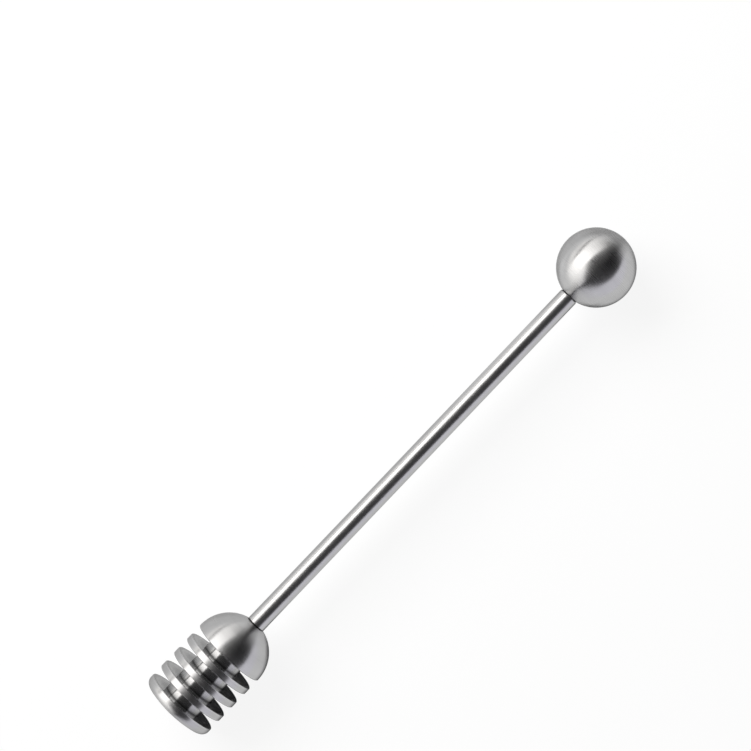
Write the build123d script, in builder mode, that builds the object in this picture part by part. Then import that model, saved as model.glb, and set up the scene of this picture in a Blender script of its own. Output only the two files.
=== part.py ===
from build123d import *
import math
import os

os.makedirs("parts", exist_ok=True)

# Honey dipper, lying along X on its ball and its head, with the head at the -X end.
# Lengths in millimetres.

# Bar that the ball and the head are turned from
turned_diameter = 20.0

# Handle rod
rod_diameter = 5.0
rod_exposed_length = 113.7
rod_edge_at_ball = 0.5
rod_edge_at_head = 0.2

# Spigot on each end of the rod, and the blind bore that it is glued into
spigot_diameter = 3.0
spigot_length = 7.5
spigot_edge = 0.3
spigot_clearance = 0.03
bore_end_gap = 0.5
drill_point_angle = 118.0

# Head, from its foot to the seat of the rod
foot_diameter = 6.0
underside_radius = 32.0
underside_corner_radius = 1.8
lowest_disc_height = 3.75
core_diameter = 10.7
disc_thickness = 1.85
groove_width = 2.85
upper_disc_count = 3
dome_land_height = 0.2
edge_break = 0.15

# Radii
turned_radius = turned_diameter / 2
rod_radius = rod_diameter / 2
spigot_radius = spigot_diameter / 2
bore_radius = spigot_radius + spigot_clearance
foot_radius = foot_diameter / 2
core_radius = core_diameter / 2

# Heights along the head, counted from its foot
groove_count = upper_disc_count + 1
groove_pitch = disc_thickness + groove_width
groove_starts = [lowest_disc_height + groove_pitch * i for i in range(groove_count)]
dome_start = groove_starts[-1] + groove_width
dome_centre = dome_start + dome_land_height

# Distance from the centre of the ball, and of the dome, to the flat seat of the rod
seat_offset = math.sqrt(turned_radius**2 - rod_radius**2)
seat_angle = math.degrees(math.asin(rod_radius / turned_radius))

# Positions along the whole dipper, counted from the foot
rod_start = dome_centre + seat_offset
rod_end = rod_start + rod_exposed_length
ball_centre = rod_end + seat_offset
overall_length = ball_centre + turned_radius

# Centre of the underside's curve, which the foot's small flat face cuts short
underside_centre = math.sqrt(underside_radius**2 - foot_radius**2)
underside_foot_angle = math.degrees(math.asin(foot_radius / underside_radius))
underside_rim_angle = math.degrees(math.asin(turned_radius / underside_radius))

# Depth of the drilled cone at the bottom of each bore
bore_depth = spigot_length + bore_end_gap
drill_point_depth = bore_radius / math.tan(math.radians(drill_point_angle) / 2)

# Turning plane: local x runs along the dipper from the foot, local y is the radius
turning_plane = Plane(
    origin=(-overall_length / 2, 0, turned_radius),
    x_dir=(1, 0, 0),
    z_dir=(0, -1, 0),
)
turning_axis = Axis(turning_plane.origin, turning_plane.x_dir)


def bore_outline(mouth, inward):
    """Half section of a blind bore from its mouth, towards inward (+1 or -1) along x."""
    floor = mouth + inward * bore_depth
    tip = floor + inward * drill_point_depth
    Polyline(
        (mouth, 0),
        (mouth, bore_radius),
        (floor, bore_radius),
        (tip, 0),
        close=True,
    )


# Head: dome, flat discs and domed underside, turned in one piece on its core
with BuildPart() as dipper_head:
    with BuildSketch(turning_plane) as head_section:
        with BuildLine():
            underside = CenterArc(
                center=(underside_centre, 0),
                radius=underside_radius,
                start_angle=180 - underside_foot_angle,
                arc_size=underside_foot_angle - underside_rim_angle,
            )
            dome_arc = CenterArc(
                center=(dome_centre, 0),
                radius=turned_radius,
                start_angle=90,
                arc_size=seat_angle - 90,
            )
            Line(underside @ 1, dome_arc @ 0)
            Polyline(dome_arc @ 1, (rod_start, 0), (0, 0), underside @ 0)
        make_face()
        underside_corner = head_section.vertices().group_by(Axis.Y)[-1].sort_by(Axis.X)[0]
        fillet(underside_corner, underside_corner_radius)
        # Grooves between the discs
        groove_depth = turned_radius - core_radius
        for start in groove_starts:
            with Locations((start, core_radius)):
                Rectangle(
                    groove_width,
                    groove_depth,
                    align=(Align.MIN, Align.MIN),
                    mode=Mode.SUBTRACT,
                )
        # Broken edges at both rims of every groove
        rim_corners = head_section.vertices().filter_by(
            lambda corner: abs(corner.Y - turned_radius) < edge_break
            and groove_starts[0] - edge_break < corner.X < dome_start + edge_break
        )
        chamfer(rim_corners, edge_break)
    revolve(axis=turning_axis)
    with BuildSketch(turning_plane):
        with BuildLine():
            bore_outline(rod_start, -1)
        make_face()
    revolve(axis=turning_axis, mode=Mode.SUBTRACT)

# Handle rod with a turned-down spigot at each end
with BuildPart() as handle_rod:
    with BuildSketch(turning_plane):
        with BuildLine():
            Polyline(
                (rod_start - spigot_length, 0),
                (rod_start - spigot_length, spigot_radius),
                (rod_start, spigot_radius),
                (rod_start, rod_radius),
                (rod_end, rod_radius),
                (rod_end, spigot_radius),
                (rod_end + spigot_length, spigot_radius),
                (rod_end + spigot_length, 0),
                close=True,
            )
        make_face()
    revolve(axis=turning_axis)
    rims = handle_rod.edges().filter_by(GeomType.CIRCLE).sort_by(Axis.X)
    chamfer([rims[0], rims[-1]], spigot_edge)
    shoulders = handle_rod.edges().filter_by(GeomType.CIRCLE).group_by(SortBy.RADIUS)[-1]
    chamfer(shoulders.sort_by(Axis.X)[0], rod_edge_at_head)
    fillet(shoulders.sort_by(Axis.X)[-1], rod_edge_at_ball)

# Ball knob, with a flat seat as wide as the rod
with BuildPart() as ball_knob:
    with BuildSketch(turning_plane):
        with BuildLine():
            ball_arc = CenterArc(
                center=(ball_centre, 0),
                radius=turned_radius,
                start_angle=0,
                arc_size=180 - seat_angle,
            )
            Polyline(ball_arc @ 1, (rod_end, 0), ball_arc @ 0)
        make_face()
    revolve(axis=turning_axis)
    with BuildSketch(turning_plane):
        with BuildLine():
            bore_outline(rod_end, 1)
        make_face()
    revolve(axis=turning_axis, mode=Mode.SUBTRACT)

dipper_head.part.label = "dipper_head"
handle_rod.part.label = "handle_rod"
ball_knob.part.label = "ball_knob"
export_step(dipper_head.part, "parts/dipper_head.step")
export_step(handle_rod.part, "parts/handle_rod.step")
export_step(ball_knob.part, "parts/ball_knob.step")
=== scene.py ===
# %% [markdown]
# # A turned steel honey dipper
# The real tool is three pieces of stainless steel: a ball that the hand holds, a slim polished
# rod, and a grooved head that picks up the honey. All three are turned on a lathe about one line,
# and the dipper lies on its side on white paper.
# Their shapes could be modelled again here, but the CAD solids already have the right ones, down
# to the broken edges of the discs. So this lesson keeps the solids and works on what the CAD
# can't give: the finish that a lathe leaves on steel, and the light that shows it.

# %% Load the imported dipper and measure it
import bpy
import math
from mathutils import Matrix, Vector


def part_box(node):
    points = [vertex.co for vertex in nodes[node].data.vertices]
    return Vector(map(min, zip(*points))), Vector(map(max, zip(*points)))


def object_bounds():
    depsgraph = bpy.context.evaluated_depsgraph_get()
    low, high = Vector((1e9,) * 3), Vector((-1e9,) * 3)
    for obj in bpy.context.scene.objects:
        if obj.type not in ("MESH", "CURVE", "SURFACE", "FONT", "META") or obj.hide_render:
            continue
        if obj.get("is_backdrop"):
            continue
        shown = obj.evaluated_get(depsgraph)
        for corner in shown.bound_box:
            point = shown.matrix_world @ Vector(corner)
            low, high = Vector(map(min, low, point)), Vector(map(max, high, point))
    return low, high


mm_per_metre = 1000


def in_mm(length, digits=2):
    """A length in metres as rounded millimetres, for printing."""
    return round(mm_per_metre * length, digits)


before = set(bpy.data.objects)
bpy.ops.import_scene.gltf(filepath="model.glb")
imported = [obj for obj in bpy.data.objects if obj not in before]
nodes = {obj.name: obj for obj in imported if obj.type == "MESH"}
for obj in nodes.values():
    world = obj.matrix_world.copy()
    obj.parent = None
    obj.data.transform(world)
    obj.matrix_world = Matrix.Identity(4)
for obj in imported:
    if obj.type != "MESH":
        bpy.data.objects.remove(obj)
cad_low, cad_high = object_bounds()
bpy.ops.object.select_all(action="DESELECT")
ball, rod, head = nodes["ball_knob"], nodes["handle_rod"], nodes["dipper_head"]
print("CAD nodes:", sorted(nodes))
print("CAD box, mm:", [in_mm(length) for length in cad_high - cad_low])

# %% [markdown]
# ## Where the turning axis runs
# A lathe finish follows the axis that the piece was turned about. Every pattern below is built
# on the distance along that axis and the distance from it, so the axis and the places of the two
# seams are measured on the solids first.

# %% Measure the axis and the two seams
ball_low, ball_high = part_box("ball_knob")
head_low, head_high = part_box("dipper_head")
axis_height = (cad_low.z + cad_high.z) / 2
turned_radius = (ball_high.z - ball_low.z) / 2
seam_at_ball = ball_low.x
seam_at_head = head_high.x
print("Axis along X,", in_mm(axis_height), "mm above the paper")
print("Seams at x =", in_mm(seam_at_head), "and", in_mm(seam_at_ball), "mm")

# %% [markdown]
# ## Colours as they are written
# Blender's default view softens bright colours, as film does. Here the paper has to come out pure
# white and the greys of the steel as they are set, so the plain Standard view is chosen.

# %% Choose the Standard view
scene = bpy.context.scene
scene.view_settings.view_transform = "Standard"
print("View transform:", scene.view_settings.view_transform)

# %% [markdown]
# ## An empty world, and tools to fill it
# A material or a world is a tree of nodes. Placing each node by hand in code is wordy, so small
# helpers do it. The first ones add a node, fill a socket and do arithmetic.

# %% Start the world


def add_node(tree, kind, **settings):
    """Adds a node to a tree and sets its attributes."""
    node = tree.nodes.new(kind)
    for name, value in settings.items():
        setattr(node, name, value)
    return node


def plug(tree, socket, value):
    """Gives an input socket a plain value, or links another node's output to it."""
    if hasattr(value, "is_output"):
        tree.links.new(value, socket)
    else:
        socket.default_value = value


def maths(tree, operation, *values):
    """Arithmetic on numbers and outputs."""
    node = add_node(tree, "ShaderNodeMath", operation=operation)
    for socket, value in zip(node.inputs, values):
        plug(tree, socket, value)
    return node.outputs[0]


def plus(tree, level, amount, factor):
    """The level, plus the amount times a factor."""
    return maths(tree, "MULTIPLY_ADD", amount, factor, level)


def times(tree, first, *others):
    """All the values multiplied with each other."""
    for other in others:
        first = maths(tree, "MULTIPLY", first, other)
    return first


world = bpy.data.worlds.new("studio")
scene.world = world
world.use_nodes = True
tree = world.node_tree
tree.nodes.clear()
print("World", world.name, "starts with", len(tree.nodes), "nodes")

# %% [markdown]
# ## The studio that the steel mirrors
# Bare steel has hardly any colour of its own. What the eye reads as steel is the room around it:
# a white softbox on the left, a dark gap straight above where the camera stands, a pale wall on
# the right. Real panels could be built for that. Here the room is painted into the world by
# direction, because its edges can then be set straight from what the ball shows.
# A direction is given by two angles in degrees: `side`, round the dipper's axis, with 0 straight
# up and minus towards the softbox, and `lift`, along the axis, plus towards the ball's end.
# `rise` and `fall` say how steeply it leans towards the ball and towards the head.

# %% Directions in the studio
# In radians. Straight along the axis, a slope would have no end.
steepest_lift = 1.3
coords = add_node(tree, "ShaderNodeTexCoord")
direction = add_node(tree, "ShaderNodeSeparateXYZ")
tree.links.new(coords.outputs["Generated"], direction.inputs[0])
along, to_left, up = direction.outputs
to_right = times(tree, to_left, -1.0)
side = maths(tree, "DEGREES", maths(tree, "ARCTAN2", to_right, up))
lift_radians = maths(tree, "ARCSINE", along)
lift = maths(tree, "DEGREES", lift_radians)
slope = maths(tree, "MAXIMUM", lift_radians, -steepest_lift)
slope = maths(tree, "TANGENT", maths(tree, "MINIMUM", slope, steepest_lift))
rise = maths(tree, "MAXIMUM", slope, 0.0)
fall = maths(tree, "MAXIMUM", times(tree, slope, -1.0), 0.0)
print("Directions take", len(tree.nodes), "nodes")

# %% [markdown]
# ## Smooth steps
# Nothing in a soft reflection starts or ends at once, so nearly every value below slides from one
# level to another. Ramps with hand-placed stops could hold them, but the Map Range node with its
# Smooth Step setting says it in one line: from where to where, and between which levels.

# %% Helpers for smooth steps


def slide(tree, value, low, high, before, after):
    """before where value is under low, after where it is over high, smooth between them."""
    node = add_node(tree, "ShaderNodeMapRange", interpolation_type="SMOOTHSTEP")
    for socket, setting in zip(node.inputs, (value, low, high, before, after)):
        plug(tree, socket, setting)
    return node.outputs["Result"]


def step_up(tree, value, low, high):
    """0 under low, 1 over high."""
    return slide(tree, value, low, high, 0.0, 1.0)


def step_down(tree, value, low, high):
    """1 under low, 0 over high."""
    return slide(tree, value, low, high, 1.0, 0.0)


def profile(tree, value, level, slides):
    """Starts at a level, and each slide (low, high, next level) takes it on to the next."""
    for low, high, next_level in slides:
        level = slide(tree, value, low, high, level, next_level)
    return level


def blend(tree, share, first, second):
    """The first value where share is 0, the second where it is 1."""
    node = add_node(tree, "ShaderNodeMix", data_type="FLOAT")
    plug(tree, node.inputs[0], share)
    plug(tree, node.inputs[2], first)
    plug(tree, node.inputs[3], second)
    return node.outputs[0]


bend_starts = 0.15
past_bend = maths(tree, "MAXIMUM", maths(tree, "SUBTRACT", fall, bend_starts), 0.0)
bend_angle = math.degrees(math.atan(bend_starts))
print("The softbox bends past", round(bend_angle, 1), "degrees towards the head")

# %% [markdown]
# ## Where the softbox ends
# A softbox is a lamp behind white cloth, and it makes the broad white band on the steel. Its
# inner edge lies about 30 degrees left of the middle. Towards the head, past the bend, it turns
# inwards and crosses the middle, and the dark reflection on the ball narrows to a tail there.
# The outer edge turns outwards at both ends. All these numbers were set by comparing the ball
# and the dome with the photograph, because round things mirror the whole room.

# %% Edges of the softbox
inner_edge_at_head = -35.5
inner_edge_slides = [(-14.0, -2.0, -29.0), (3.0, 11.0, -31.0)]
inner_edge_limit = 7.0
first_turn, further_turn = 6.0, 24.0
inner_edge = profile(tree, lift, inner_edge_at_head, inner_edge_slides)
inner_edge = plus(tree, inner_edge, step_up(tree, past_bend, 0.0, 0.3), first_turn)
inner_edge = plus(tree, inner_edge, past_bend, further_turn)
inner_edge = maths(tree, "MINIMUM", inner_edge, inner_edge_limit)
past_inner = maths(tree, "SUBTRACT", side, inner_edge)

outer_edge_across = -67.5
turn_with_rise, turn_with_square, turn_past_bend = -12.0, -18.0, -10.0
outer_edge = plus(tree, outer_edge_across, rise, turn_with_rise)
outer_edge = plus(tree, outer_edge, times(tree, rise, rise), turn_with_square)
outer_edge = plus(tree, outer_edge, past_bend, turn_past_bend)
past_outer = maths(tree, "SUBTRACT", side, outer_edge)
print("Softbox, straight across: from", outer_edge_across, "to", inner_edge_slides[0][2], "degrees")

# %% [markdown]
# ## How bright the softbox and the left wall are
# The cloth is brightest straight across and dimmer towards both ends. The wall behind it catches
# some of its light, most of it close to the box. The steel takes about half of all light away,
# so the cloth has to be at about 2 to come out white.

# %% Brightness on the left
cloth_at_head = 1.6
cloth_slides = [(-83.0, -72.0, 2.6), (4.0, 22.0, 1.45), (40.0, 66.0, 0.75)]
dimmer_towards_head = -1.2
dim_wall, lit_wall = 0.86, 1.42
edge_softness, softer_past_bend = 1.5, 25.0
cloth = profile(tree, lift, cloth_at_head, cloth_slides)
cloth = plus(tree, cloth, step_up(tree, fall, 0.2, 1.6), dimmer_towards_head)
left_wall = slide(tree, past_outer, -42.0, -8.0, dim_wall, lit_wall)
softness = plus(tree, edge_softness, past_bend, softer_past_bend)
in_softbox = step_up(tree, past_outer, times(tree, softness, -1.0), softness)
left_level = blend(tree, in_softbox, left_wall, cloth)
print("Cloth at its brightest:", cloth_slides[0][2], "and the lit wall:", lit_wall)

# %% [markdown]
# ## The softbox's dark frame
# A softbox has a frame, and between its cloth and the wall it shows as one thin dark line. On
# the ball and the dome this line is the clearest sign of a real lamp, so it is painted as well.
# It is weaker where the rod and the core mirror it, and gone towards the head.

# %% Frame line
frame_level = 0.1
across_frame = [(-7.5, -5.5, 1.0), (-1.0, 1.0, 0.0)]
along_frame = [(-25.0, -12.0, 1.0), (-8.0, -2.0, 0.65), (3.0, 10.0, 1.0)]
frame_line = profile(tree, past_outer, 0.0, across_frame)
frame_line = times(tree, frame_line, profile(tree, lift, 0.0, along_frame))
left_level = blend(tree, frame_line, left_level, frame_level)
print("Frame line:", across_frame[1][0] - across_frame[0][1], "degrees wide at full strength")

# %% [markdown]
# ## The dark gap above
# Over the dipper, where the camera stands, the studio is dark. The light of the softbox spills a
# little way into it and fades out, which keeps the inner edge soft. The spill is stronger
# towards the ball's end, and the gap is darkest there on its right side.

# %% The gap between softbox and right wall
gap_level, darkest_gap = 0.05, 0.013
spill_across, spill_at_ball, spill_lost_at_head = 0.23, 0.66, 0.13
spill_fades = 0.1
darkest = times(tree, step_up(tree, lift, 5.0, 25.0), step_up(tree, side, -5.0, 15.0))
spill = maths(tree, "EXPONENT", times(tree, past_inner, -spill_fades))
spill_level = slide(tree, lift, 5.0, 42.0, spill_across, spill_at_ball)
spill_level = plus(tree, spill_level, step_up(tree, fall, 0.7, 2.0), -spill_lost_at_head)
gap = plus(tree, blend(tree, darkest, gap_level, darkest_gap), spill, spill_level)
level = slide(tree, past_inner, -2.0, 2.0, left_level, gap)
print("Gap:", gap_level, "and", darkest_gap, "at its darkest")

# %% [markdown]
# ## The right wall and the far end
# On the right stands a plain pale wall. Past the ball's end the room is dim, darkest in the
# middle and lighter on the right. The left of the room is a touch warm and the right a touch
# cool, as the two sides of the steel are in the photograph.

# %% Right wall, far end and tint
right_wall = 0.92
wall_edge_across = 53.0
turn_with_rise, turn_with_fall = 9.5, -11.0
steepest_fall = 1.8
wall_edge = plus(tree, wall_edge_across, rise, turn_with_rise)
wall_edge = plus(tree, wall_edge, maths(tree, "MINIMUM", fall, steepest_fall), turn_with_fall)
past_wall = maths(tree, "SUBTRACT", side, wall_edge)
level = slide(tree, past_wall, -3.5, 3.5, level, right_wall)
far_left = 0.13
far_slides = [(-30.0, 5.0, 0.03), (45.0, 85.0, 0.42)]
level = slide(tree, lift, 50.0, 76.0, level, profile(tree, side, far_left, far_slides))
warm_left = (1.0, 0.985, 0.965, 1.0)
cool_right = (0.985, 0.975, 1.05, 1.0)
tint = add_node(tree, "ShaderNodeMix", data_type="RGBA")
plug(tree, tint.inputs[0], step_up(tree, side, -40.0, 60.0))
plug(tree, tint.inputs[6], warm_left)
plug(tree, tint.inputs[7], cool_right)
print("The wall starts at", wall_edge_across, "degrees,", len(tree.nodes), "nodes so far")

# %% [markdown]
# ## Who sees which studio
# The painted room is for reflections. The camera itself sees plain white behind the paper. And
# matt things, such as the paper, get hardly any light from the room, or the paper would lose
# its shadow. The Light Path node tells these rays apart.

# %% Finish the world
light_on_matt = 0.04
rays = add_node(tree, "ShaderNodeLightPath")
strength = blend(tree, rays.outputs["Is Diffuse Ray"], 1.0, light_on_matt)
room = add_node(tree, "ShaderNodeBackground")
tree.links.new(tint.outputs[2], room.inputs["Color"])
plug(tree, room.inputs["Strength"], times(tree, level, strength))
backdrop = add_node(tree, "ShaderNodeBackground")
backdrop.inputs["Color"].default_value = (1.0, 1.0, 1.0, 1.0)
backdrop.inputs["Strength"].default_value = 1.0
seen = add_node(tree, "ShaderNodeMixShader")
tree.links.new(rays.outputs["Is Camera Ray"], seen.inputs[0])
tree.links.new(room.outputs[0], seen.inputs[1])
tree.links.new(backdrop.outputs[0], seen.inputs[2])
out = add_node(tree, "ShaderNodeOutputWorld")
tree.links.new(seen.outputs[0], out.inputs["Surface"])
print("World nodes:", len(tree.nodes))

# %% [markdown]
# ## The white paper
# The photograph's background is pure white. More light would burn the steel out as well, so the
# whiteness comes from the paper itself: for the camera, most of it glows at exactly 1, and the
# rest is matt paper that keeps a faint shadow beside the dipper. The steel sees matt paper close
# by, where the shadow matters, and a glowing sheet further out.

# %% Lay the paper
paper_size = 12.0
bpy.ops.mesh.primitive_plane_add(size=paper_size)
paper = bpy.context.object
paper.name = "paper"
paper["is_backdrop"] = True
white_paper = bpy.data.materials.new("white_paper")
white_paper.use_nodes = True
paper.data.materials.append(white_paper)
tree = white_paper.node_tree
tree.nodes.clear()
coords = add_node(tree, "ShaderNodeTexCoord")
on_paper = add_node(tree, "ShaderNodeSeparateXYZ")
tree.links.new(coords.outputs["Object"], on_paper.inputs[0])
along, to_left = on_paper.outputs[0], on_paper.outputs[1]
print("Paper laid,", paper_size, "m wide")

# %% [markdown]
# ## Where the glow starts
# In the steel, the glow starts about one centimetre from the line under the axis and is full at
# about two and a half, a little nearer on the right of the ball. Beside the rod there is no matt
# strip: the rod is thin and lies clear of the paper, so its shadow hardly shows in the steel.

# %% Matt paper near the ball and the head
dipper_end = 0.082
rod_middle = 0.004
rod_strip, matt_again = 0.046, 0.056
past_end = maths(tree, "SUBTRACT", maths(tree, "ABSOLUTE", along), dipper_end)
past_end = maths(tree, "MAXIMUM", past_end, 0.0)
distance = plus(tree, times(tree, to_left, to_left), past_end, past_end)
distance = maths(tree, "SQRT", distance)
from_middle = maths(tree, "ABSOLUTE", maths(tree, "SUBTRACT", along, rod_middle))
beside_rod = step_down(tree, from_middle, rod_strip, matt_again)
on_right = step_down(tree, to_left, -0.006, 0.0)
right_of_ball = times(tree, step_up(tree, along, 0.05, 0.06), on_right)
glow_starts = blend(tree, right_of_ball, 0.010, 0.0085)
glow_full = blend(tree, right_of_ball, 0.026, 0.0225)
glowing = maths(tree, "MAXIMUM", step_up(tree, distance, glow_starts, glow_full), beside_rod)
print("No matt paper beside", in_mm(2 * rod_strip), "mm of the rod")

# %% [markdown]
# ## How pale the paper is in the steel
# The sheet isn't lit evenly, and the steel shows that on the flanks that face the paper. On the
# right it is plain. On the left it is dimmer close to the dipper, but for the strip between the
# middle and the ball, and dimmest past the ball's end. The line between left and right runs
# under the axis, and past the ball it turns a little to the right.

# %% Pale levels of the glowing paper
right_pale = 0.9
pale_by_ends = 0.8
rod_pale_at_head, rod_pale_at_ball = 0.78, 1.0
far_by_ends, far_by_rod = 1.0, 0.85
dim_past_ball = 0.45
skew_starts, skew = 0.08, 0.2
pale_by_rod = slide(tree, along, 0.0, 0.04, rod_pale_at_head, rod_pale_at_ball)
near_pale = blend(tree, beside_rod, pale_by_ends, pale_by_rod)
far_pale = blend(tree, beside_rod, far_by_ends, far_by_rod)
left_pale = slide(tree, to_left, 0.03, 0.13, near_pale, far_pale)
past_ball = times(tree, step_up(tree, along, 0.078, 0.1), step_down(tree, to_left, 0.02, 0.06))
left_pale = blend(tree, past_ball, left_pale, dim_past_ball)
past_skew = maths(tree, "MAXIMUM", maths(tree, "SUBTRACT", along, skew_starts), 0.0)
left_of_line = plus(tree, to_left, past_skew, skew)
pale = slide(tree, left_of_line, -0.009, 0.013, right_pale, left_pale)
print("Pale levels:", right_pale, "on the right,", pale_by_ends, "on the near left")

# %% [markdown]
# ## Glowing and matt paper in one sheet
# The camera sees nine tenths glow and one tenth matt paper. The steel sees the matt paper close
# by with a painted shade, darker than the camera does, as the flanks that face it are a mid grey in
# the photograph, and with a deeper painted shadow on the right of the discs, where the gaps between
# them let hardly any light in.

# %% Mix the two papers
seen_glow = 0.9
discs_until, dome_from = -0.064, -0.060
# Painted shade: the matt paper is darker in the steel, darkest under the discs' right side.
matt_white, matt_shaded_in_steel, matt_shadow_under_discs = 0.95, 0.56, 0.28
rays = add_node(tree, "ShaderNodeLightPath")
mirrored = maths(tree, "MAXIMUM", rays.outputs["Is Glossy Ray"], rays.outputs["Is Transmission Ray"])
share = plus(tree, times(tree, mirrored, glowing), rays.outputs["Is Camera Ray"], seen_glow)
shadow_under_discs = times(tree, step_down(tree, along, discs_until, dome_from), on_right)
in_steel = blend(tree, shadow_under_discs, matt_shaded_in_steel, matt_shadow_under_discs)
paper_grey = add_node(tree, "ShaderNodeCombineColor")
for channel in paper_grey.inputs:
    plug(tree, channel, blend(tree, mirrored, matt_white, in_steel))
matt = add_node(tree, "ShaderNodeBsdfDiffuse")
tree.links.new(paper_grey.outputs[0], matt.inputs["Color"])
glow = add_node(tree, "ShaderNodeEmission")
plug(tree, glow.inputs["Strength"], blend(tree, mirrored, 1.0, pale))
sheet = add_node(tree, "ShaderNodeMixShader")
plug(tree, sheet.inputs[0], share)
tree.links.new(matt.outputs[0], sheet.inputs[1])
tree.links.new(glow.outputs[0], sheet.inputs[2])
out = add_node(tree, "ShaderNodeOutputMaterial")
tree.links.new(sheet.outputs[0], out.inputs["Surface"])
print("White paper takes", len(tree.nodes), "nodes")

# %% [markdown]
# ## The lamp behind the softbox
# The painted studio shows in the steel, but it gives the paper too little light for a shadow.
# An area lamp stands where the softbox is, about as large, and is hidden from reflections,
# because the steel already sees the painted one there.

# %% Set up the lamp
lamp_angle = math.radians(53.5)
lamp_distance = 0.7
lamp_width, lamp_height = 0.66, 0.415
watts_per_square_metre = 10.0 * math.pi
aim = Vector((0.0, 0.0, axis_height))
towards = Vector((0.0, math.sin(lamp_angle), math.cos(lamp_angle)))
bpy.ops.object.light_add(type="AREA", location=aim + lamp_distance * towards)
lamp = bpy.context.object
lamp.name = "softbox_lamp"
lamp.rotation_euler = (-lamp_angle, 0.0, 0.0)
lamp.data.shape = "RECTANGLE"
lamp.data.size = lamp_width
lamp.data.size_y = lamp_height
lamp.data.energy = watts_per_square_metre * lamp_width * lamp_height
lamp.visible_glossy = False
print("Lamp energy, W:", round(lamp.data.energy, 2))

# %% [markdown]
# ## Turned coordinates
# A turning mark is a ring: it stays at one place along the axis and at one distance from it. So
# the patterns don't use x, y and z, but the distance along the axis and the radius. All three
# materials need them, so they are built once as a node group, which is like a helper that lives
# inside the materials.

# %% Node group: place on the turned piece


def new_group(name, inputs, outputs):
    """An empty node group with named sockets. Its start and end nodes hold them."""
    group = bpy.data.node_groups.new(name, "ShaderNodeTree")
    for socket_name, value in inputs.items():
        socket = group.interface.new_socket(socket_name, in_out="INPUT", socket_type="NodeSocketFloat")
        socket.default_value = value
    for socket_name in outputs:
        kind = "NodeSocketVector" if socket_name.endswith("Normal") else "NodeSocketFloat"
        group.interface.new_socket(socket_name, in_out="OUTPUT", socket_type=kind)
    start = add_node(group, "NodeGroupInput")
    end = add_node(group, "NodeGroupOutput")
    return group, start, end


turned_place, start, end = new_group(
    "turned_place",
    {"Axis Height": axis_height},
    ["Along", "Radius", "Around", "Facing", "Round Normal"],
)
coords = add_node(turned_place, "ShaderNodeTexCoord")
split = add_node(turned_place, "ShaderNodeSeparateXYZ")
turned_place.links.new(coords.outputs["Object"], split.inputs[0])
along, across, above_paper = split.outputs
height = maths(turned_place, "SUBTRACT", above_paper, start.outputs["Axis Height"])
radius = plus(turned_place, times(turned_place, across, across), height, height)
radius = maths(turned_place, "SQRT", radius)
plug(turned_place, end.inputs["Along"], along)
plug(turned_place, end.inputs["Radius"], radius)
plug(turned_place, end.inputs["Around"], maths(turned_place, "ARCTAN2", across, height))
print("turned_place:", len(turned_place.nodes), "nodes so far")

# %% [markdown]
# ## A round normal
# The solids reach Blender as flat triangles with a stored normal at each corner, and where the
# round surface was closed, the stored normals don't quite meet: a thin line shows in the
# reflection there. On a turned piece the true normal is easy to work out. It has the stored
# part along the axis, and what is left of its length points straight away from the axis, or
# towards it inside a bore. `Facing` says how squarely a surface looks along the axis, as the flat
# sides of the discs do.

# %% The same group: facing and round normal
normal = add_node(turned_place, "ShaderNodeSeparateXYZ")
turned_place.links.new(coords.outputs["Normal"], normal.inputs[0])
normal_along, normal_across, normal_up = normal.outputs
plug(turned_place, end.inputs["Facing"], maths(turned_place, "ABSOLUTE", normal_along))
outwards = times(turned_place, normal_across, across)
outwards = plus(turned_place, outwards, normal_up, height)
length_left = times(turned_place, normal_along, normal_along)
length_left = maths(turned_place, "MAXIMUM", maths(turned_place, "SUBTRACT", 1.0, length_left), 0.0)
length_left = maths(turned_place, "SQRT", length_left)
length_left = times(turned_place, length_left, maths(turned_place, "SIGN", outwards))
outward_scale = maths(turned_place, "DIVIDE", length_left, radius)
round_normal = add_node(turned_place, "ShaderNodeCombineXYZ")
plug(turned_place, round_normal.inputs[0], normal_along)
plug(turned_place, round_normal.inputs[1], times(turned_place, outward_scale, across))
plug(turned_place, round_normal.inputs[2], times(turned_place, outward_scale, height))
to_world = add_node(
    turned_place,
    "ShaderNodeVectorTransform",
    vector_type="NORMAL",
    convert_from="OBJECT",
    convert_to="WORLD",
)
turned_place.links.new(round_normal.outputs[0], to_world.inputs[0])
plug(turned_place, end.inputs["Round Normal"], to_world.outputs[0])
print("turned_place:", len(turned_place.nodes), "nodes")

# %% [markdown]
# ## Turning marks
# The tool's tip leaves a fine thread on the steel, finer than a hair. It could be modelled as a
# real groove, but that would take millions of faces. A noise stretched round the axis gives the
# same broken rings: it changes fast along the axis and the radius, and slowly round the piece.
# The fine rings go mostly to the bump and the roughness, and the coarser bands to the grey.

# %% Node group: turning marks
turning_marks, start, end = new_group(
    "turning_marks",
    {"Along": 0.0, "Radius": 0.0, "Around": 0.0, "Pitch": 0.0002},
    ["Rings", "Bands"],
)
changes_per_radian = 0.6
band_pitch_in_rings = 9.0
slow = times(turning_marks, start.outputs["Around"], changes_per_radian)
for output, coarser in (("Rings", 1.0), ("Bands", band_pitch_in_rings)):
    pitch = times(turning_marks, start.outputs["Pitch"], coarser)
    ring_place = add_node(turning_marks, "ShaderNodeCombineXYZ")
    for socket, name in zip(ring_place.inputs, ("Along", "Radius")):
        plug(turning_marks, socket, maths(turning_marks, "DIVIDE", start.outputs[name], pitch))
    plug(turning_marks, ring_place.inputs[2], slow)
    noise = add_node(turning_marks, "ShaderNodeTexNoise")
    noise.inputs["Scale"].default_value = 1.0
    noise.inputs["Detail"].default_value = 2.0
    turning_marks.links.new(ring_place.outputs[0], noise.inputs["Vector"])
    plug(turning_marks, end.inputs[output], noise.outputs[0])
print("turning_marks:", len(turning_marks.nodes), "nodes")

# %% [markdown]
# ## Haze from handling
# Steel that is held and washed carries a thin uneven film. It shows as patches, a few
# millimetres across, where the mirror is slightly duller. A soft noise gives them.

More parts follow.
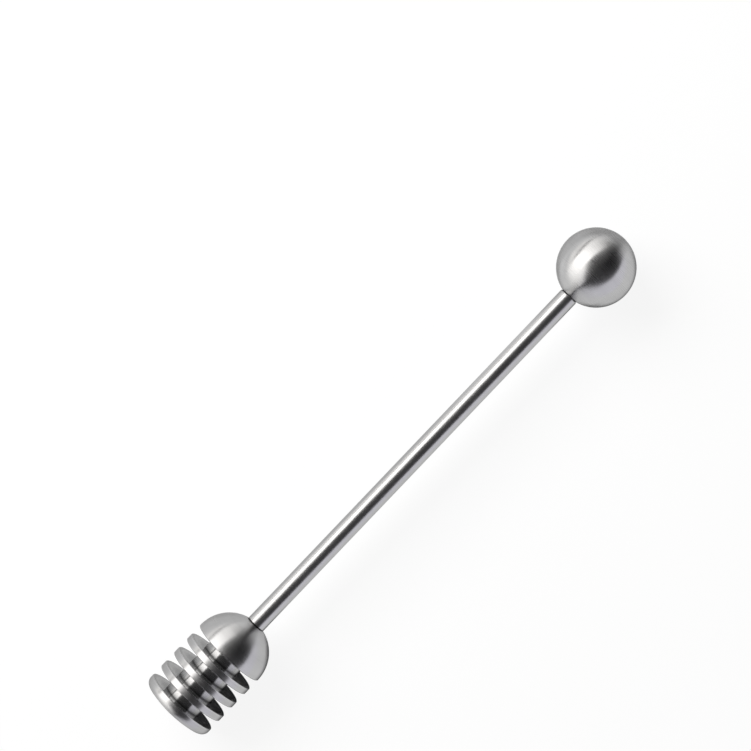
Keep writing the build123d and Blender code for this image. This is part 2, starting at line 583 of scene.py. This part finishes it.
# %% Node group: haze
haze, start, end = new_group("handling_haze", {"Patch Size": 0.008}, ["Haze"])
coords = add_node(haze, "ShaderNodeTexCoord")
noise = add_node(haze, "ShaderNodeTexNoise")
noise.inputs["Detail"].default_value = 3.0
noise.inputs["Distortion"].default_value = 0.6
plug(haze, noise.inputs["Scale"], maths(haze, "DIVIDE", 1.0, start.outputs["Patch Size"]))
haze.links.new(coords.outputs["Object"], noise.inputs["Vector"])
plug(haze, end.inputs["Haze"], step_up(haze, noise.outputs[0], 0.35, 0.7))
print("handling_haze:", len(haze.nodes), "nodes")

# %% [markdown]
# ## Painted shade at a seam
# Where the rod enters the ball and the head, a hair-thin crevice lets no light back, and a painted
# shade darkens it. The mask is strongest at the seam and ends a fraction of a millimetre away
# from it. A noise thins the painted shade out here and there.

# %% Node group: seam
seam_line, start, end = new_group(
    "seam_line",
    {"Along": 0.0, "Seam": 0.0, "Reach": 0.0003},
    ["Crevice"],
)
full_share_of_reach = 0.6
faintest_shade = 0.4
patches_per_metre = 620.0
away = maths(seam_line, "SUBTRACT", start.outputs["Along"], start.outputs["Seam"])
away = maths(seam_line, "ABSOLUTE", away)
full_to = times(seam_line, start.outputs["Reach"], full_share_of_reach)
near_seam = step_down(seam_line, away, full_to, start.outputs["Reach"])
coords = add_node(seam_line, "ShaderNodeTexCoord")
noise = add_node(seam_line, "ShaderNodeTexNoise")
noise.inputs["Scale"].default_value = patches_per_metre
noise.inputs["Detail"].default_value = 1.0
seam_line.links.new(coords.outputs["Object"], noise.inputs["Vector"])
# The noise makes the painted shade patchy.
shade_strength = slide(seam_line, noise.outputs[0], 0.38, 0.6, faintest_shade, 1.0)
plug(seam_line, end.inputs["Crevice"], times(seam_line, near_seam, shade_strength))
print("seam_line:", len(seam_line.nodes), "nodes")

# %% [markdown]
# ## Steel, and what is the same on all three pieces
# Each piece gets its own material, because the ball is satin, the rod is polished and the head
# is turned. They share this start. The thread of the turning marks spreads a reflection along
# the axis but keeps it sharp round the piece, which the shader's anisotropy gives: its tangent
# runs in rings round the X axis, and a quarter turn lays the spread along the axis.
# Seen almost edge on, a metal shader mirrors nearly all light and draws a bright rim. The fine
# thread takes much of that away on the real steel, and a grey Specular Tint does it here.

# %% Start of a turned steel
quarter_turn = 0.25


def use_group(tree, group, **values):
    """Places a group and gives its outputs. Spaces in socket names are written as underscores."""
    node = add_node(tree, "ShaderNodeGroup", node_tree=group)
    for name, value in values.items():
        plug(tree, node.inputs[name.replace("_", " ")], value)
    return node.outputs


def start_steel(name, anisotropy, edge_on):
    """A steel with ring-shaped anisotropy. edge_on is the tint where it is seen almost edge on."""
    steel = bpy.data.materials.new(name)
    steel.use_nodes = True
    tree = steel.node_tree
    shader = tree.nodes["Principled BSDF"]
    shader.inputs["Metallic"].default_value = 1.0
    shader.inputs["Anisotropic"].default_value = anisotropy
    shader.inputs["Anisotropic Rotation"].default_value = quarter_turn
    shader.inputs["Specular Tint"].default_value = (edge_on, edge_on, edge_on, 1.0)
    tangent = add_node(tree, "ShaderNodeTangent", direction_type="RADIAL", axis="X")
    tree.links.new(tangent.outputs[0], shader.inputs["Tangent"])
    return steel, tree, shader


print("Tangent turned by", 360 * quarter_turn, "degrees")

# %% [markdown]
# ## Marks and haze on a steel
# Every steel carries the three patterns in its own size. They are small changes: the noise lies
# mostly between 0.3 and 0.7, so a depth of 0.1 moves the grey up and down by about 0.02.

# %% Patterns on a turned steel


def ring_marks(tree, place, pitch):
    """The turning marks at this place, with their rings this far apart."""
    return use_group(
        tree,
        turning_marks,
        Along=place["Along"],
        Radius=place["Radius"],
        Around=place["Around"],
        Pitch=pitch,
    )


def crevice_shade_at(tree, place, seam, reach):
    """The mask of the painted shade at a seam."""
    return use_group(tree, seam_line, Along=place["Along"], Seam=seam, Reach=reach)["Crevice"]


def vary(tree, level, pattern, depth):
    """The level, moved up and down by a pattern that lies around one half."""
    return plus(tree, level, maths(tree, "SUBTRACT", pattern, 0.5), depth)


def scale_where(tree, level, mask, factor):
    """The level, times the factor where the mask is 1."""
    return times(tree, level, blend(tree, mask, 1.0, factor))


steel_grey = 0.53
# The crevice grey is the painted shade at the seams.
crevice_shade_grey = 0.1
print("Steel grey", steel_grey, "and crevice grey", crevice_shade_grey)

# %% [markdown]
# ## Feeding the shader
# The grey, the roughness and the rings end in the same sockets on each piece. The bump node takes
# the round normal, so the marks sit on a surface that is truly round, and its distance is the
# depth of the thread, one to four thousandths of a millimetre.

# %% Finish a steel and put it on its piece
steel_tint = (1.0, 0.998, 1.0)


def finish_steel(tree, shader, place, brightness, roughness, rings, thread_depth):
    """Feeds the shader with a grey that varies, the roughness, and the rings as bump."""
    shade = add_node(tree, "ShaderNodeCombineColor")
    for channel, tint_share in zip(shade.inputs, steel_tint):
        plug(tree, channel, times(tree, brightness, tint_share))
    tree.links.new(shade.outputs[0], shader.inputs["Base Color"])
    plug(tree, shader.inputs["Roughness"], roughness)
    bump = add_node(tree, "ShaderNodeBump")
    bump.inputs["Distance"].default_value = thread_depth
    plug(tree, bump.inputs["Height"], rings)
    plug(tree, bump.inputs["Normal"], place["Round Normal"])
    tree.links.new(bump.outputs[0], shader.inputs["Normal"])


def dress(piece, steel):
    """Puts a material in every slot of a CAD node's object."""
    for slot in piece.material_slots:
        slot.material = steel
    print(piece.name, "wears", steel.name, "with", len(steel.node_tree.nodes), "nodes")


print("Slots to fill:", [len(piece.material_slots) for piece in (ball, rod, head)])

# %% [markdown]
# ## The ball: satin steel
# The ball is turned and then rubbed fine. It mirrors the studio softly, and the hand leaves its
# haze on it.

# %% Satin steel for the ball
satin_roughness = 0.26
steel, tree, shader = start_steel("satin_steel_of_ball", anisotropy=0.9, edge_on=0.75)
place = use_group(tree, turned_place)
marks = ring_marks(tree, place, pitch=0.00022)
film = use_group(tree, haze, Patch_Size=0.007)["Haze"]
# Painted shade in the crevice at the ball's seam.
crevice_shade = crevice_shade_at(tree, place, seam_at_ball, reach=0.00012)
brightness = vary(tree, steel_grey, marks["Bands"], depth=0.1)
brightness = vary(tree, brightness, marks["Rings"], depth=0.045)
brightness = plus(tree, brightness, film, factor=-0.02)
brightness = blend(tree, crevice_shade, brightness, crevice_shade_grey)
roughness = vary(tree, satin_roughness, marks["Rings"], depth=0.11)
roughness = plus(tree, roughness, film, factor=0.04)
finish_steel(tree, shader, place, brightness, roughness, marks["Rings"], thread_depth=0.0000012)
dress(ball, steel)

# %% [markdown]
# ## The rod: polished bar
# The rod is drawn bar that is polished, so its marks are the faintest. At both ends it meets a
# seam darkened by a painted shade, a wider one at the head.

# %% Polished steel for the rod
polished_roughness, crevice_roughness = 0.28, 0.6
rod_crevice_shade_grey = 0.09
steel, tree, shader = start_steel("polished_steel_of_rod", anisotropy=0.5, edge_on=0.7)
place = use_group(tree, turned_place)
marks = ring_marks(tree, place, pitch=0.0003)
film = use_group(tree, haze, Patch_Size=0.006)["Haze"]
# Painted shade in the crevices at both seams.
at_ball = crevice_shade_at(tree, place, seam_at_ball, reach=0.00026)
at_head = crevice_shade_at(tree, place, seam_at_head, reach=0.00036)
crevice_shade = maths(tree, "MAXIMUM", at_ball, at_head)
brightness = vary(tree, steel_grey, marks["Bands"], depth=0.06)
brightness = blend(tree, crevice_shade, brightness, rod_crevice_shade_grey)
roughness = plus(tree, polished_roughness, film, factor=0.05)
roughness = blend(tree, crevice_shade, roughness, crevice_roughness)
finish_steel(tree, shader, place, brightness, roughness, marks["Rings"], thread_depth=0.000001)
dress(rod, steel)

# %% [markdown]
# ## The head: where the grooves are
# The head is cut from the bar in one go: a domed foot, three flat discs and the dome, with four
# grooves between them down to the core. Painting masks by hand would take a texture. The head
# repeats itself in even steps, so one fraction says where in its groove and disc a point lies,
# and the distance to the nearest edge follows from it.

# %% Places in the grooves
lowest_disc_height = 0.00375
disc_thickness = 0.00185
groove_width = 0.00285
core_radius = 0.00535
margin = 0.0005
disc_pitch = disc_thickness + groove_width
groove_start = head_low.x + lowest_disc_height
dome_start = groove_start + 3 * disc_pitch + groove_width
steel, tree, shader = start_steel("turned_steel_of_head", anisotropy=0.9, edge_on=0.8)
place = use_group(tree, turned_place)
along, radius = place["Along"], place["Radius"]
turns = maths(tree, "DIVIDE", maths(tree, "SUBTRACT", along, groove_start), disc_pitch)
into_turn = maths(tree, "FRACT", turns)
from_start = maths(tree, "MINIMUM", into_turn, maths(tree, "SUBTRACT", 1.0, into_turn))
from_end = maths(tree, "SUBTRACT", into_turn, groove_width / disc_pitch)
from_end = maths(tree, "ABSOLUTE", from_end)
to_edge = times(tree, maths(tree, "MINIMUM", from_start, from_end), disc_pitch)
under_dome = maths(tree, "LESS_THAN", along, dome_start + margin)
over_foot = maths(tree, "GREATER_THAN", along, groove_start - margin)
among_discs = times(tree, under_dome, over_foot)
print("Four grooves from x =", in_mm(groove_start), "to", in_mm(dome_start), "mm")

# %% [markdown]
# ## Masks on the head
# The dome and the rims keep the broad turned finish. The flat sides of the discs are cut with a
# straight tool and come out smooth, but get a painted shade and a lower Metallic close to the
# core and in a narrow ring by the rim. The broken edges are rubbed bright, and the corners
# where a disc meets the core get a painted shade.

# %% Edges, sides and core
# Disc sides: painted shade near the core and in a ring by the rim, with a lower Metallic.
dull_and_shaded_slides = [(0.0058, 0.0088, 0.0), (0.0086, 0.0095, 0.85)]
close_to_edge = times(tree, step_down(tree, to_edge, 0.0001, 0.00035), among_discs)
disc_side = times(tree, step_up(tree, place["Facing"], 0.9, 0.97), among_discs)
dull_and_shaded_side = times(tree, disc_side, profile(tree, radius, 1.0, dull_and_shaded_slides))
at_rim = step_up(tree, radius, turned_radius - 0.0004, turned_radius - 0.0002)
off_side = maths(tree, "SUBTRACT", 1.0, disc_side)
rubbed_edge = times(tree, close_to_edge, at_rim, off_side)
on_core = step_down(tree, radius, core_radius + 0.00005, core_radius + 0.00045)
on_core = times(tree, on_core, among_discs)
# Painted shade in the corners where a disc meets the core.
shaded_corner = times(tree, close_to_edge, on_core)
print("Masks take", len(tree.nodes), "nodes")

# %% [markdown]
# ## The head: turned steel
# In the photograph the core is a little darker than the rims, and darkest at its foot on each
# disc, where little light gets in, so its grey is set lower there. A dull side mirrors less and
# scatters more, which a lower Metallic gives.

# %% Grey of the head
core_foot_height = 0.0009
core_foot_shade, core_shade = 0.45, 0.86
marks = ring_marks(tree, place, pitch=0.00026)
film = use_group(tree, haze, Patch_Size=0.009)["Haze"]
# Painted shade in the crevice at the head's seam.
crevice_shade = crevice_shade_at(tree, place, seam_at_head, reach=0.0001)
over_disc = times(tree, into_turn, disc_pitch)
shade_on_core = slide(tree, over_disc, 0.0, core_foot_height, core_foot_shade, core_shade)
brightness = vary(tree, steel_grey, marks["Bands"], depth=0.1)
brightness = vary(tree, brightness, marks["Rings"], depth=0.07)
brightness = plus(tree, brightness, film, factor=-0.02)
brightness = plus(tree, brightness, rubbed_edge, factor=0.06)
# Painted shade: darker in the corners where a disc meets the core.
brightness = scale_where(tree, brightness, shaded_corner, factor=0.5)
# Painted shade on the disc sides.
brightness = scale_where(tree, brightness, dull_and_shaded_side, factor=0.3)
brightness = scale_where(tree, brightness, on_core, factor=shade_on_core)
brightness = blend(tree, crevice_shade, brightness, crevice_shade_grey)
print("Grey of the head:", len(tree.nodes), "nodes so far")

# %% [markdown]
# ## How smooth each place on the head is
# The dome and the rims scatter the reflection most, because the tool's thread is coarsest there.
# The core and the flat sides come out smoother, so their reflections are sharper.

# %% Roughness of the head, and dressing it
turned_roughness, core_roughness, side_roughness = 0.31, 0.2, 0.1
metallic_where_dull = 0.4
roughness = vary(tree, turned_roughness, marks["Rings"], depth=0.16)
roughness = plus(tree, roughness, film, factor=0.03)
roughness = plus(tree, roughness, rubbed_edge, factor=-0.08)
roughness = blend(tree, on_core, roughness, core_roughness)
roughness = blend(tree, disc_side, roughness, side_roughness)
plug(tree, shader.inputs["Metallic"], blend(tree, dull_and_shaded_side, 1.0, metallic_where_dull))
finish_steel(tree, shader, place, brightness, roughness, marks["Rings"], thread_depth=0.0000035)
dress(head, steel)

# %% [markdown]
# ## The camera
# The dipper is photographed almost from straight above, from about three quarters of a metre,
# with a long lens. The camera stands over the ball's half of the rod and leans a little, so it
# sees the head slightly from the rod's side, and the flat sides of the discs show as narrow
# ellipses. It could look at an empty and track it. Its angles are set directly here, so
# that the dipper crosses the picture as in the photograph.

# %% Set up the camera
camera_place = (0.051976, 0.021265, 0.742102)
lean, turn = math.radians(2.92), math.radians(-46.44)
bpy.ops.object.camera_add(location=camera_place)
camera = bpy.context.object
camera.name = "photo_camera"
camera.rotation_mode = "ZYX"
camera.rotation_euler = (0.0, lean, turn)
camera.data.sensor_width = 36.0
camera.data.lens = 140.774
camera.data.clip_start = 0.01
scene.camera = camera
print("Lens, mm:", round(camera.data.lens, 1))

# %% [markdown]
# ## Sizes
# Nothing here changes the dipper's size. The dressed model's box is measured again, and how
# much it grows over the CAD box is printed.

# %% Measure the dressed box and print its growth
new_low, new_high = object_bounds()
growth = (new_high - new_low) - (cad_high - cad_low)
print("Box grows by, mm:", [in_mm(length, digits=4) for length in growth])
